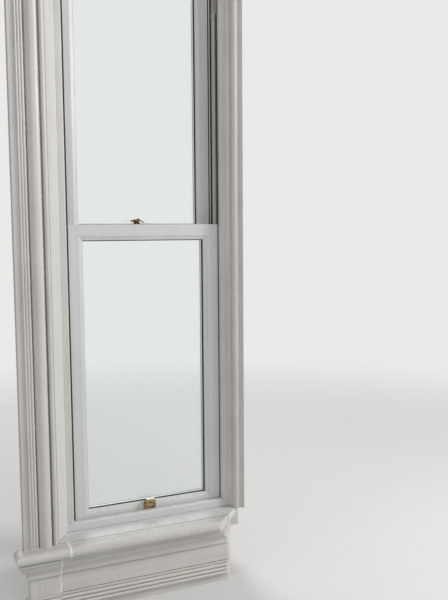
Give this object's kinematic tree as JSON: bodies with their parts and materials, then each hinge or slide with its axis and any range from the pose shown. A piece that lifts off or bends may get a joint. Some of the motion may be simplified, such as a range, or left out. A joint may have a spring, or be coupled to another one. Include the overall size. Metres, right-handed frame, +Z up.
{
  "type": "sash window",
  "caption": "Double-hung timber sash window with its frame and moulded room-side trim, spiral balances, double glazing, a brass lift and a cam fastener.",
  "frame": {"origin": "middle of the sashes' width, on the sill's underside, in the plane of the lower sash's room face", "axes": "+X to the right as seen from the room, +Y outward through the window, +Z up"},
  "size_m": [0.76, 0.304, 2.2715],
  "materials": {
    "painted_timber": "satin",
    "balance_plastic": "satin",
    "steel": "brushed",
    "pile": "pile",
    "glass": "clear",
    "spacer_bar": "mill",
    "gasket": "matt",
    "polished_brass": "polished",
    "aged_brass": "aged"
  },
  "bodies": {
    "frame": {"sill": "painted_timber", "jamb_left": "painted_timber", "jamb_right": "painted_timber", "head": "painted_timber", "outer_lining_left": "painted_timber", "outer_lining_right": "painted_timber", "outer_lining_head": "painted_timber", "inner_lining_left": "painted_timber", "inner_lining_right": "painted_timber", "inner_lining_head": "painted_timber", "staff_bead_left": "painted_timber", "staff_bead_right": "painted_timber", "staff_bead_head": "painted_timber", "bottom_bead": "painted_timber", "parting_bead_left": "painted_timber", "parting_bead_right": "painted_timber", "window_board": "painted_timber", "nosing": "painted_timber", "nosing_return": "painted_timber", "bed_mould": "painted_timber", "bed_mould_return": "painted_timber", "apron": "painted_timber", "apron_mould": "painted_timber", "plinth_block": "painted_timber", "architrave_left": "painted_timber", "architrave_head": "painted_timber", "reveal_lining_left": "painted_timber", "reveal_lining_head": "painted_timber", "corner_post": "painted_timber", "balance_tubes": "balance_plastic", "balance_screws": "steel", "staff_bead_seals": "pile", "parting_bead_seals": "pile"},
    "lower_sash": {"lower_stile_left": "painted_timber", "lower_stile_right": "painted_timber", "lower_bottom_rail": "painted_timber", "lower_meeting_rail": "painted_timber", "lower_glazing_beads": "painted_timber", "lower_balance_rods": "steel", "lower_panes": "glass", "lower_spacer": "spacer_bar", "lower_gaskets": "gasket", "lower_sash_screws": "polished_brass", "meeting_rail_seal": "pile", "sash_lift": "polished_brass", "fastener_base": "aged_brass", "fastener_pivot": "aged_brass"},
    "upper_sash": {"upper_stile_left": "painted_timber", "upper_stile_right": "painted_timber", "upper_top_rail": "painted_timber", "upper_meeting_rail": "painted_timber", "upper_glazing_beads": "painted_timber", "upper_balance_rods": "steel", "upper_panes": "glass", "upper_spacer": "spacer_bar", "upper_gaskets": "gasket", "keeper": "aged_brass", "keeper_screws": "aged_brass"},
    "fastener": {"fastener_arm": "aged_brass"}
  },
  "joints": [
    {"name": "lower_sash_slide", "type": "slide", "parent": "frame", "child": "lower_sash", "axis": [0, 0, 1], "range_m": [0, 0.78]},
    {"name": "upper_sash_slide", "type": "slide", "parent": "frame", "child": "upper_sash", "axis": [0, 0, -1], "range_m": [0, 0.78]},
    {"name": "fastener_turn", "type": "hinge", "parent": "lower_sash", "child": "fastener", "pos_m": [-0.011, 0.036, 1.03], "axis": [0, 0, 1], "range_deg": [0, 90]}
  ]
}
